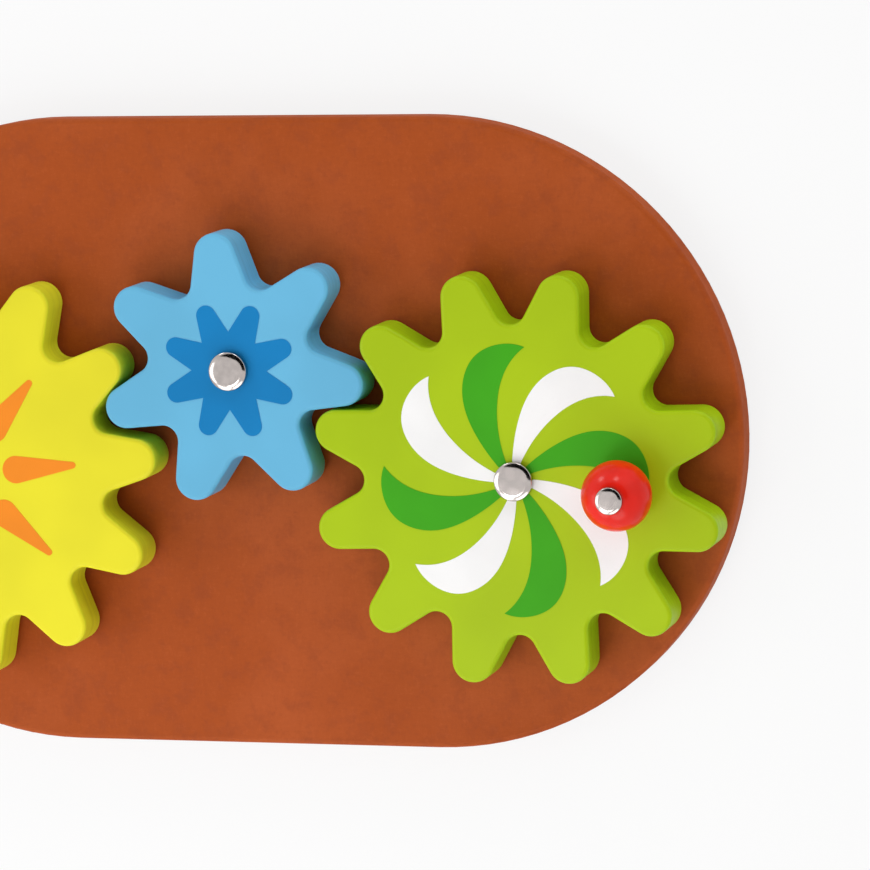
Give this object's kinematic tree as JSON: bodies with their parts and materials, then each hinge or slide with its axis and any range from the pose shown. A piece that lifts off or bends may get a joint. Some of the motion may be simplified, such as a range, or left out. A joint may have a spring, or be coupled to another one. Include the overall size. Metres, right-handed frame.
{
  "type": "crank gear toy",
  "caption": "Painted wooden crank toy: toothed wheels in mesh on a flat board, turned by a ball knob on one of them.",
  "frame": {"origin": "middle of the plane that the feet stand on, under the middle of the board", "axes": "+Z out of the board's face along the gears' axles, +X along the board's length towards the crank's gear, +Y towards the edge nearest the small gear"},
  "size_m": [0.3652, 0.2286, 0.0618],
  "materials": {
    "board_paint": "brown paint, slightly mottled, satin",
    "green_paint": "lime green paint, satin",
    "blue_paint": "light blue paint, satin",
    "yellow_paint": "yellow paint, satin",
    "white_ink": "white screen-printed ink",
    "green_ink": "green screen-printed ink",
    "blue_ink": "blue screen-printed ink",
    "orange_ink": "orange screen-printed ink",
    "red_lacquer": "red gloss lacquer",
    "chromed_steel": "bright plated, flat cap with a bevelled rim",
    "nylon": "natural nylon",
    "zinc_steel": "zinc plated",
    "foot_rubber": "black rubber"
  },
  "bodies": {
    "board": {"base_board": "board_paint", "green_axle": "chromed_steel", "blue_axle": "chromed_steel", "yellow_axle": "chromed_steel", "green_spacer": "nylon", "blue_spacer": "nylon", "yellow_spacer": "nylon", "green_axle_nut": "zinc_steel", "blue_axle_nut": "zinc_steel", "yellow_axle_nut": "zinc_steel", "rubber_feet": "foot_rubber", "foot_screws": "zinc_steel", "keyhole_hangers": "zinc_steel", "hanger_screws": "zinc_steel"},
    "green_wheel": {"green_gear": "green_paint", "green_bush": "nylon", "green_gear_white_blades": "white_ink", "green_gear_dark_blades": "green_ink", "knob_pin": "chromed_steel", "knob_washer": "nylon", "knob_nut": "zinc_steel"},
    "blue_wheel": {"blue_gear": "blue_paint", "blue_bush": "nylon", "blue_gear_flower": "blue_ink"},
    "yellow_wheel": {"yellow_gear": "yellow_paint", "yellow_bush": "nylon", "yellow_gear_sun": "orange_ink"},
    "knob": {"crank_knob": "red_lacquer"}
  },
  "joints": [
    {"name": "green_wheel_turn", "type": "hinge", "parent": "board", "child": "green_wheel", "pos_m": [0.10409, -0.0132, 0.0272], "axis": [0, 0, 1], "continuous": true},
    {"name": "blue_wheel_turn", "type": "hinge", "parent": "board", "child": "blue_wheel", "pos_m": [0, 0.0253, 0.0272], "axis": [0, 0, 1], "continuous": true},
    {"name": "yellow_wheel_turn", "type": "hinge", "parent": "board", "child": "yellow_wheel", "pos_m": [-0.10409, -0.0132, 0.0272], "axis": [0, 0, 1], "continuous": true},
    {"name": "knob_turn", "type": "hinge", "parent": "green_wheel", "child": "knob", "pos_m": [0.14377, -0.01618, 0.0484], "axis": [0, 0, 1], "continuous": true}
  ],
  "couplings": [
    {"joint": "blue_wheel_turn", "follows": "green_wheel_turn", "ratio": -1.7143},
    {"joint": "yellow_wheel_turn", "follows": "green_wheel_turn", "ratio": 1}
  ]
}
